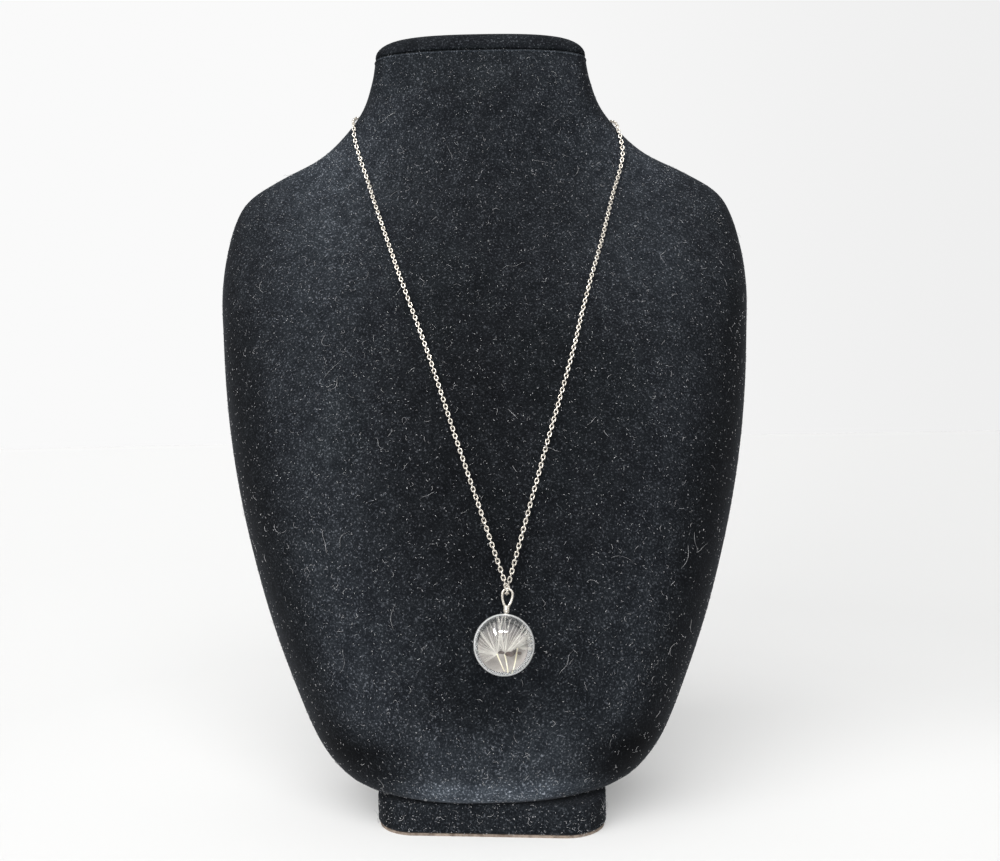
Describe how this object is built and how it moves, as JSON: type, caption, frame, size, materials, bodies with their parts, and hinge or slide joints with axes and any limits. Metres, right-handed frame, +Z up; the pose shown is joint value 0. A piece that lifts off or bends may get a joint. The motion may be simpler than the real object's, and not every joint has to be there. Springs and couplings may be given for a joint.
{
  "type": "glass dandelion pendant necklace on a velvet neck bust",
  "caption": "Clear glass ball pendant with dandelion seeds inside, hanging by a wire loop on a fine cable chain round a plain velvet neck bust on a foot.",
  "frame": {"origin": "under the middle of the bust, on the surface that it stands on; the foot's centre is 1.8 mm to the right of it and 1.5 mm in front of it", "axes": "+Z up, -Y to the front where the pendant hangs, +X to the right seen from the front"},
  "size_m": [0.195, 0.1113, 0.271],
  "materials": {
    "velvet": "short black pile with a soft grey sheen and specks of lint",
    "board": "raw pressed board",
    "silver": "polished, slightly warm",
    "clear_glass": "polished and clear",
    "seed": "dry pale plant fibre"
  },
  "bodies": {
    "stand": {"bust_form": "velvet", "neck_cap": "velvet", "foot": "velvet", "base_board": "board", "chain": "silver", "clasp": "silver"},
    "pendant": {"wire_loop": "silver", "glass_ball": "clear_glass", "seed_left": "seed", "seed_mid": "seed", "seed_right": "seed"}
  },
  "joints": [
    {"name": "pendant_swing", "type": "hinge", "parent": "stand", "child": "pendant", "pos_m": [0.00625, -0.04252, 0.0768], "axis": [-1, 0, 0], "range_deg": [0, 70]}
  ]
}
